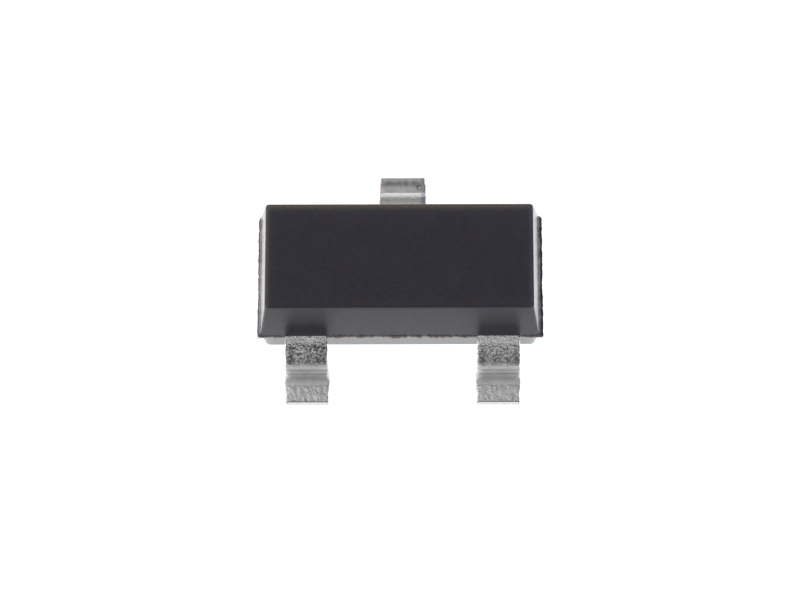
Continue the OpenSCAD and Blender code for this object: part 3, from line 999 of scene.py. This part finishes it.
def wire_rings(look):
    """Skin of the bond wire in its own upright plane: an ellipse carried from the ball to the stitch.

    The ball is a sphere's zone, so its rings have the radius of that sphere at their height. Then come the
    rise, a bend, the sloping run, a gentler bend and the stitch, pressed wide and thin by a power of the way
    along it. The ball stands at X = 0.
    """
    half = look.wire_diameter / 2
    contact = chip_high[2]
    count = WIRE_STEPS
    height = np.linspace(0, look.ball_height, count["ball"])
    ball = np.sqrt((look.ball_diameter / 2) ** 2 - (height - look.ball_height / 2) ** 2)
    bend_z = contact + look.ball_height + look.wire_rise
    first_angle = np.linspace(np.pi, np.pi / 2 - look.wire_slope, count["bend"])
    last_angle = 1.5 * np.pi - np.linspace(look.wire_slope, look.landing_slope, count["landing"])
    run_top = np.array([np.cos(first_angle[-1]), np.sin(first_angle[-1])]) * look.first_bend
    run_top += (look.first_bend, bend_z)
    fall = look.last_bend * (np.cos(look.landing_slope) - np.cos(look.wire_slope))
    drop = run_top[1] - PARTING - half - fall
    run = drop / np.sin(look.wire_slope) * np.array([np.cos(look.wire_slope), -np.sin(look.wire_slope)])
    centre = run_top + run + look.last_bend * np.array([np.sin(look.wire_slope), np.cos(look.wire_slope)])
    first = np.stack([np.cos(first_angle), np.sin(first_angle)], -1) * look.first_bend
    last = np.stack([np.cos(last_angle), np.sin(last_angle)], -1) * look.last_bend
    landing = centre + last[-1]
    stitch_end = (landing[0] + look.stitch_length, PARTING + look.stitch_height / 2)
    stitch = np.linspace(landing, stitch_end, count["stitch"])[1:]
    pressed = np.linspace(0, 1, count["stitch"])[1:] ** 0.7
    route = np.concatenate([
        np.stack([0 * height, contact + height], -1),
        [(0, contact + look.ball_height)],
        first + (look.first_bend, bend_z),
        last + centre,
        stitch,
    ])
    heading = np.concatenate([
        np.full(count["ball"] + 1, np.pi / 2),
        first_angle - np.pi / 2,
        last_angle + np.pi / 2,
        np.linspace(-look.landing_slope, 0, count["stitch"])[1:],
    ])
    plain = np.full(1 + count["bend"] + count["landing"], half)
    wide = np.concatenate([ball, plain, half + (look.stitch_width / 2 - half) * pressed])
    high = np.concatenate([ball, plain, half + (look.stitch_height / 2 - half) * pressed])
    angle = steps(0, 2 * np.pi, count["round"])
    side = -wide[:, None] * np.sin(angle)
    up = high[:, None] * np.cos(angle)
    x = route[:, :1] - up * np.sin(heading)[:, None]
    z = route[:, 1:] + up * np.cos(heading)[:, None]
    return np.stack([x, side, z], axis=-1)


# X and Y of the point on the anode lead's post that the wire runs to.
WIRE_AIM = np.array([-0.82, -0.23]) * MM


def turned_rings(rings, heading, place):
    """Rings turned about Z to the heading and then moved to the place."""
    cosine, sine = np.cos(heading), np.sin(heading)
    x = rings[..., 0] * cosine - rings[..., 1] * sine + place[0]
    y = rings[..., 0] * sine + rings[..., 1] * cosine + place[1]
    return np.stack([x, y, rings[..., 2]], axis=-1)


class ZENER_OT_mould_body(bpy.types.Operator):
    """Mould the body with its drafted halves and broken ledge"""

    bl_idname = "zener.mould_body"
    bl_label = "Mould Body"

    def execute(self, context):
        look = context.scene.zener_body
        leads = context.scene.zener_leads
        places = [
            (leads.shift - FRONT_LEAD_X, leads.front_width, -1),
            (leads.shift + FRONT_LEAD_X, leads.front_width, -1),
            (leads.shift, leads.back_width, 1),
        ]
        rings, broken_and_lit, rim = body_rings(look, places)
        looks = {"broken_and_lit": broken_and_lit, "rim": rim}
        make_piece("moulded_body", rings, compound_material(look), "mould_body", looks)
        return {"FINISHED"}


class ZENER_OT_form_leads(bpy.types.Operator):
    """Form the three gull-wing leads from their strips"""

    bl_idname = "zener.form_leads"
    bl_label = "Form Leads"

    def execute(self, context):
        look = context.scene.zener_leads
        tin = tin_material(look)
        front = Strip(-front_high[1], look.front_width / 2, (front_high[0] - front_low[0]) / 2)
        back = Strip(back_low[1], look.back_width / 2, back_high[0])
        # Piece, CAD node, middle in X, strip, wear, seed, and how far into the bend the crease begins.
        leads = [
            ("tinned_anode_lead", "anode_lead", -FRONT_LEAD_X, front, FRONT_WEAR, 21, -0.035 * MM),
            ("tinned_spare_lead", "spare_lead", FRONT_LEAD_X, front, FRONT_WEAR, 41, 0.004 * MM),
            ("tinned_cathode_lead", "cathode_lead", 0, back, BACK_WEAR, 61, 0),
        ]
        for name, node, x, strip, wear, seed, crease_start in leads:
            skin = LeadSkin(look, strip, wear, seed, crease_start)
            half_turn = (-1, -1, 1) if wear is FRONT_WEAR else 1
            rings = skin.rings() * half_turn + (x + look.shift, 0, 0)
            make_piece(name, rings, tin, node, skin.looks(), turned=True)
        return {"FINISHED"}


class ZENER_OT_bond_chip(bpy.types.Operator):
    """Bond the wire to the chip and finish the chip and its solder"""

    bl_idname = "zener.bond_chip"
    bl_label = "Bond Chip"

    def execute(self, context):
        look = context.scene.zener_inside
        chip_middle = (chip_low + chip_high)[:2] / 2
        heading = np.arctan2(*(WIRE_AIM - chip_middle)[::-1])
        rings = turned_rings(wire_rings(look), heading, chip_middle)
        make_piece("bonded_wire", rings, gold_material(look), "bond_wire")
        finishes = {"zener_chip": silicon_material(look), "chip_solder": solder_material(look)}
        for node, material in finishes.items():
            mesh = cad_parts[node].data
            mesh.materials.clear()
            mesh.materials.append(material)
        return {"FINISHED"}


FLOOR_GAP = 0.0005 * MM
FLOOR_SIDES = 64
# Where the floor lends more light: this far beside the middle, and between these lines in front and behind.
GLOW_BESIDE = (1.25 * MM, 1.45 * MM)
GLOW_IN_FRONT = (-0.95 * MM, -0.75 * MM)
GLOW_BEHIND = (0.85 * MM, 1.1 * MM)
# Angles of the soft lights: height or tilt, and where each has faded out and where it is full.
SIDE_HEIGHT = np.radians(40)
SIDE_FADE = np.radians((45, 20))
FRONT_TILT = np.radians(45)
FRONT_FADE = np.radians((55, 30))
BACKDROP_FADE = np.radians((22, 12))


def floor_material(look):
    """Pale floor lit from below, clear when seen from underneath.

    The camera sees it evenly bright. The light it lends the object fades with the distance in front, and is
    stronger close to the body and most of all beside it.
    """
    make = NodeMaker(bpy.data.materials.new("studio_floor"))
    make.tree.nodes.remove(make.tree.nodes["Principled BSDF"])
    place = make.add("ShaderNodeSeparateXYZ", Vector=make.place).outputs
    lent = make.ramp(place["Y"], -look.glow_end, -look.glow_start, look.far_glow, look.near_glow)
    aside = make.join("ShaderNodeMath", "ABSOLUTE", place["X"], 0.0)[0]
    beside = make.ramp(aside, *GLOW_BESIDE, 0, look.side_glow)
    near = make.times(make.ramp(place["Y"], *GLOW_IN_FRONT), make.ramp(place["Y"], *GLOW_BEHIND, 1, 0))
    closer = make.times(make.sum(beside, look.close_glow), near)
    lent = make.times(lent, make.sum(closer, 1.0))
    seen = make.add("ShaderNodeLightPath").outputs["Is Camera Ray"]
    unseen = make.join("ShaderNodeMath", "SUBTRACT", 1.0, seen)[0]
    strength = make.sum(make.times(unseen, lent), make.times(seen, look.glow))
    mixed = make.add("ShaderNodeMixShader", Fac=make.add("ShaderNodeNewGeometry").outputs["Backfacing"])
    make.feed(mixed.inputs[1], make.add("ShaderNodeEmission", Strength=strength).outputs[0])
    make.feed(mixed.inputs[2], make.add("ShaderNodeBsdfTransparent").outputs[0])
    make.feed(make.tree.nodes["Material Output"].inputs["Surface"], mixed.outputs[0])
    return make.owner


def make_floor(look):
    """Round floor just under the feet: points on a circle of the floor's radius, joined to its middle."""
    angle = steps(0, 2 * np.pi, FLOOR_SIDES)
    rim = np.stack([np.cos(angle), np.sin(angle), 0 * angle], axis=-1) * look.floor_size
    points = np.concatenate([[(0, 0, 0)], rim]) - (0, 0, FLOOR_GAP)
    faces = [(0, i + 1, (i + 1) % FLOOR_SIDES + 1) for i in range(FLOOR_SIDES)]
    mesh = bpy.data.meshes.new("studio_floor")
    mesh.from_pydata(points, [], faces)
    mesh.materials.append(floor_material(look))
    floor = bpy.data.objects.new("studio_floor", mesh)
    bpy.context.scene.collection.objects.link(floor)


def make_light(look):
    """Dim even room with four soft lights in it, which the camera sees as plain white.

    They are a round panel high behind the object, one low on the left, the ceiling in front and a low
    backdrop. Each is a smooth step of the dot product of its own direction with the direction looked in.
    """
    world = bpy.data.worlds.new("studio_room")
    make = NodeMaker(world, "Generated")

    def panel(direction, fade, strength):
        """Light from round a direction, which fades between these two angles from it."""
        facing = make.join("ShaderNodeVectorMath", "DOT_PRODUCT", make.place, direction)["Value"]
        return make.ramp(facing, *np.cos(fade), 0, strength, "SMOOTHSTEP")

    high = (0, np.sin(look.panel_tilt), np.cos(look.panel_tilt))
    left = (-np.cos(SIDE_HEIGHT), 0, np.sin(SIDE_HEIGHT))
    front = (0, -np.sin(FRONT_TILT), np.cos(FRONT_TILT))
    light = panel(high, (look.panel_outer, look.panel_inner), look.panel - look.room)
    light = make.sum(light, panel(left, SIDE_FADE, look.side))
    light = make.sum(light, panel(front, FRONT_FADE, look.front))
    light = make.sum(light, panel((0, 1, 0), BACKDROP_FADE, look.backdrop))
    light = make.sum(light, look.room)
    shown = make.add("ShaderNodeMix")
    make.feed(shown.inputs[0], make.add("ShaderNodeLightPath").outputs["Is Camera Ray"])
    make.feed(shown.inputs[2], light)
    make.feed(shown.inputs[3], 1.0)
    back = make.tree.nodes["Background"]
    make.feed(back.inputs["Color"], (1, 1, 1, 1))
    make.feed(back.inputs["Strength"], shown.outputs[0])
    bpy.context.scene.world = world


def make_camera(look):
    """Camera in front, at the elevation, that looks at the aim point from the distance.

    It is tilted down about its own X axis, then turned to the side about its upright and rolled about its
    line of sight, and stands back from the aim point along that line.
    """
    lens = bpy.data.cameras.new("studio_camera")
    lens.sensor_width = 36.0
    lens.sensor_fit = "HORIZONTAL"
    lens.lens = look.lens
    lens.clip_start = look.distance / 100
    lens.clip_end = look.distance * 100
    camera = bpy.data.objects.new("studio_camera", lens)
    turn = Euler((np.pi / 2 - look.elevation, look.side_turn, look.roll), "ZYX").to_matrix()
    camera.rotation_euler = turn.to_euler()
    camera.location = Vector(look.aim) + turn @ Vector((0, 0, look.distance))
    bpy.context.scene.collection.objects.link(camera)
    bpy.context.scene.camera = camera


class ZENER_OT_set_studio(bpy.types.Operator):
    """Set the pale floor, the soft light and the camera"""

    bl_idname = "zener.set_studio"
    bl_label = "Set Studio"

    def execute(self, context):
        look = context.scene.zener_studio
        make_floor(look)
        make_light(look)
        make_camera(look)
        context.scene.view_settings.view_transform = "Standard"
        return {"FINISHED"}


class VIEW3D_PT_zener(bpy.types.Panel):
    """Buttons for each step, in the order in which they run"""

    bl_label = "Zener Diode"
    bl_space_type = "VIEW_3D"
    bl_region_type = "UI"
    bl_category = "Zener"

    def draw(self, context):
        for operator in OPERATORS:
            self.layout.operator(operator.bl_idname)


OPERATORS = (ZENER_OT_mould_body, ZENER_OT_form_leads, ZENER_OT_bond_chip, ZENER_OT_set_studio)
LOOKS = {
    "zener_body": BodyLook,
    "zener_leads": LeadLook,
    "zener_inside": InsideLook,
    "zener_studio": StudioLook,
}


def register():
    """Registers the classes and hangs the property groups on the scene."""
    for item in (*LOOKS.values(), *OPERATORS, VIEW3D_PT_zener):
        bpy.utils.register_class(item)
    for name, group in LOOKS.items():
        setattr(bpy.types.Scene, name, PointerProperty(type=group))


def unregister():
    """Takes away what register added."""
    for name in LOOKS:
        delattr(bpy.types.Scene, name)
    for item in (VIEW3D_PT_zener, *reversed(OPERATORS), *LOOKS.values()):
        bpy.utils.unregister_class(item)


def main():
    """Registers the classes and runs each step."""
    register()
    bpy.ops.zener.mould_body()
    bpy.ops.zener.form_leads()
    bpy.ops.zener.bond_chip()
    bpy.ops.zener.set_studio()


if __name__ == "__main__":
    main()
